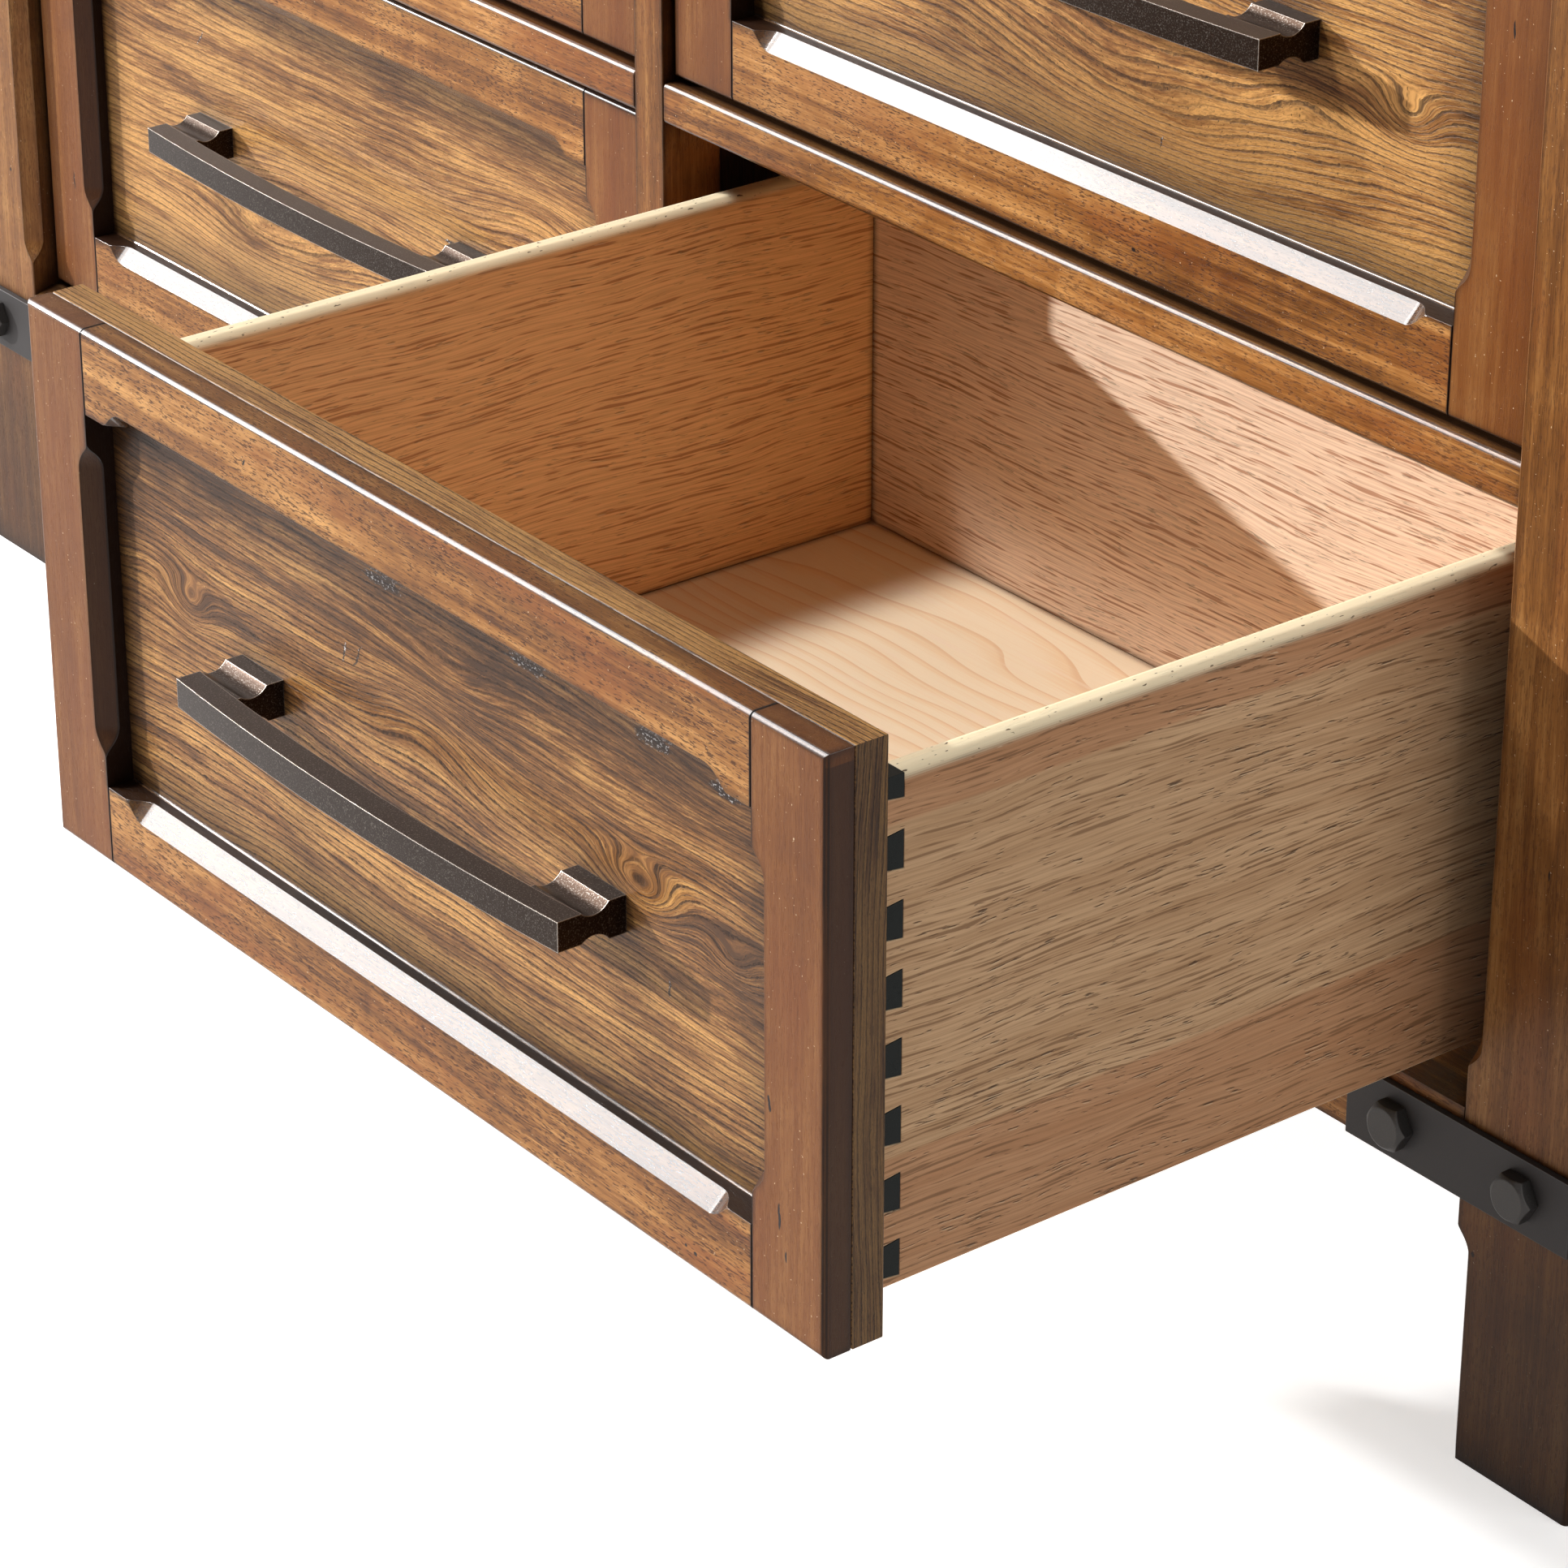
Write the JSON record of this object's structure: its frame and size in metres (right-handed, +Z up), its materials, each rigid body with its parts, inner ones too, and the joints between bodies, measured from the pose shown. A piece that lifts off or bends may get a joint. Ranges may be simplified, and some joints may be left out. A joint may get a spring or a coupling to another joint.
{
  "type": "media dresser",
  "caption": "Wooden media dresser with inset frame-and-panel drawers on centre runners, an open divided media tier, square legs, bar pulls and bolted iron corner straps.",
  "frame": {"origin": "on the floor, midway across the width, and midway from the open drawer's pull to the back", "axes": "+X along the front to the right, +Y from front to back, +Z up"},
  "size_m": [1.19, 0.7796, 0.913],
  "materials": {
    "glazed_wood": "warm brown stain with dark glaze, satin, lightly distressed",
    "drawer_veneer": "strongly figured veneer, brown stain, satin",
    "stained_wood": "dark stain, satin",
    "box_oak": "clear-coated oak",
    "bottom_board": "clear-coated pale board",
    "runner_wood": "waxed hardwood",
    "back_board": "stained board, matte",
    "strap_iron": "blackened iron, satin",
    "pull_iron": "dark bronze-grey metal, satin"
  },
  "bodies": {
    "case": {"front_post_left": "glazed_wood", "front_post_right": "glazed_wood", "rear_post_left": "glazed_wood", "rear_post_right": "glazed_wood", "side_panel_left": "drawer_veneer", "side_panel_right": "drawer_veneer", "side_rails_left": "glazed_wood", "side_rails_right": "glazed_wood", "bottom_rail": "glazed_wood", "mid_rail_left": "glazed_wood", "mid_rail_right": "glazed_wood", "upper_rail": "glazed_wood", "top_rail": "glazed_wood", "centre_stile": "glazed_wood", "centre_partition": "stained_wood", "media_shelf": "drawer_veneer", "media_divider": "glazed_wood", "top_board": "drawer_veneer", "back_panel": "back_board", "rear_rails": "stained_wood", "drawer_runners": "runner_wood", "strap_left": "strap_iron", "strap_right": "strap_iron", "strap_bolts": "strap_iron"},
    "drawer_lower_right": {"drawer_lower_right_panel": "drawer_veneer", "drawer_lower_right_frame": "glazed_wood", "drawer_lower_right_box_front": "stained_wood", "drawer_lower_right_side_left": "box_oak", "drawer_lower_right_side_right": "box_oak", "drawer_lower_right_box_back": "box_oak", "drawer_lower_right_bottom": "bottom_board", "drawer_lower_right_guide": "runner_wood", "drawer_lower_right_pull": "pull_iron"},
    "drawer_lower_left": {"drawer_lower_left_panel": "drawer_veneer", "drawer_lower_left_frame": "glazed_wood", "drawer_lower_left_box_front": "stained_wood", "drawer_lower_left_side_left": "box_oak", "drawer_lower_left_side_right": "box_oak", "drawer_lower_left_box_back": "box_oak", "drawer_lower_left_bottom": "bottom_board", "drawer_lower_left_guide": "runner_wood", "drawer_lower_left_pull": "pull_iron"},
    "drawer_upper_right": {"drawer_upper_right_panel": "drawer_veneer", "drawer_upper_right_frame": "glazed_wood", "drawer_upper_right_box_front": "stained_wood", "drawer_upper_right_side_left": "box_oak", "drawer_upper_right_side_right": "box_oak", "drawer_upper_right_box_back": "box_oak", "drawer_upper_right_bottom": "bottom_board", "drawer_upper_right_guide": "runner_wood", "drawer_upper_right_pull": "pull_iron"},
    "drawer_upper_left": {"drawer_upper_left_panel": "drawer_veneer", "drawer_upper_left_frame": "glazed_wood", "drawer_upper_left_box_front": "stained_wood", "drawer_upper_left_side_left": "box_oak", "drawer_upper_left_side_right": "box_oak", "drawer_upper_left_box_back": "box_oak", "drawer_upper_left_bottom": "bottom_board", "drawer_upper_left_guide": "runner_wood", "drawer_upper_left_pull": "pull_iron"}
  },
  "joints": [
    {"name": "drawer_lower_right_slide", "type": "slide", "parent": "case", "child": "drawer_lower_right", "axis": [0, -1, 0], "range_m": [-0.312, 0.018]},
    {"name": "drawer_lower_left_slide", "type": "slide", "parent": "case", "child": "drawer_lower_left", "axis": [0, -1, 0], "range_m": [0, 0.33]},
    {"name": "drawer_upper_right_slide", "type": "slide", "parent": "case", "child": "drawer_upper_right", "axis": [0, -1, 0], "range_m": [0, 0.33]},
    {"name": "drawer_upper_left_slide", "type": "slide", "parent": "case", "child": "drawer_upper_left", "axis": [0, -1, 0], "range_m": [0, 0.33]}
  ]
}
